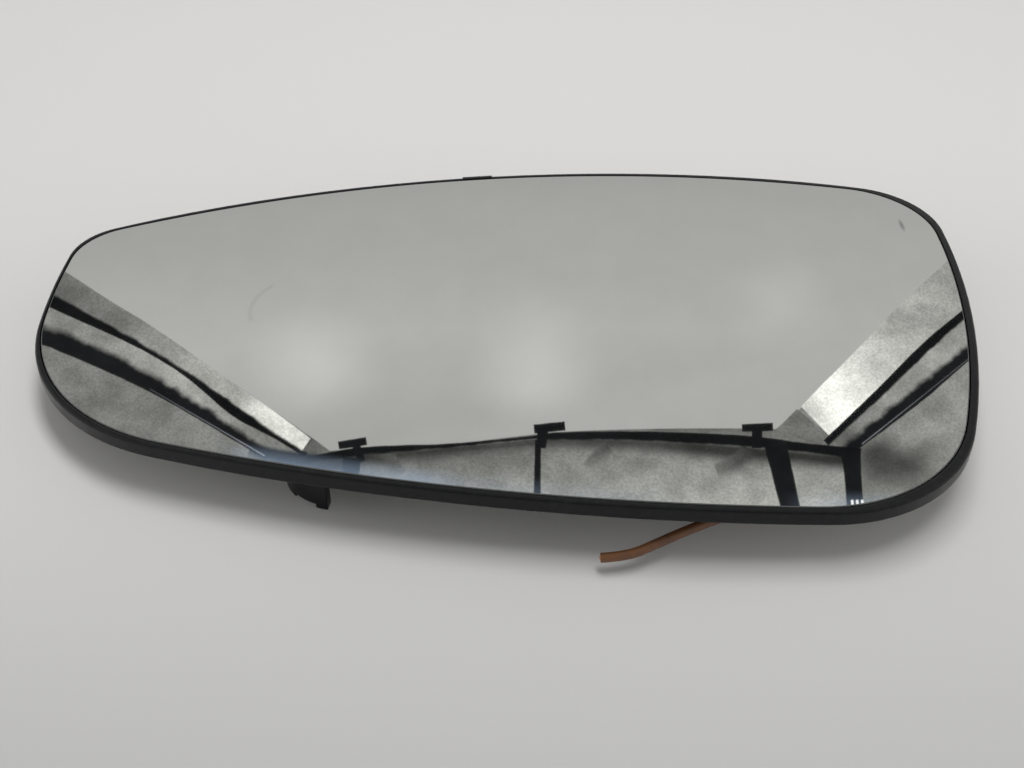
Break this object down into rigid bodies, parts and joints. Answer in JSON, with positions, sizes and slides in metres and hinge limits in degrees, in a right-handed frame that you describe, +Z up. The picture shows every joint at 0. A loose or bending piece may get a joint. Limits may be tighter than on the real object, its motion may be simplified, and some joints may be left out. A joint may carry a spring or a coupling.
{
  "type": "car door mirror glass",
  "caption": "Convex heated door mirror glass bonded to a black moulded backing plate, with a snap ring for the adjuster motor, blade terminals and a cut orange-brown wire.",
  "frame": {"origin": "on the axis of the clip ring, level with the tips of its teeth, on which the mirror lies", "axes": "+Z up, out of the mirror's face; +X along the pane, towards the end nearest the car; +Y towards the pane's top edge"},
  "size_m": [0.189, 0.1129, 0.0145],
  "materials": {
    "silvered_glass": "polished, back-silvered, faintly dusty",
    "heater_foil": "matt film",
    "black_plastic": "satin moulded, glossier on the rim",
    "brass": "stamped",
    "tinned_brass": "tinned, dull",
    "wire_insulation": "semi-gloss vinyl"
  },
  "bodies": {
    "root": {"mirror_glass": "silvered_glass", "heater_foil": "heater_foil", "backing_plate": "black_plastic", "heater_terminal_feed": "brass", "heater_terminal_return": "brass", "wire_receptacle": "tinned_brass", "heater_wire": "wire_insulation"}
  },
  "joints": []
}
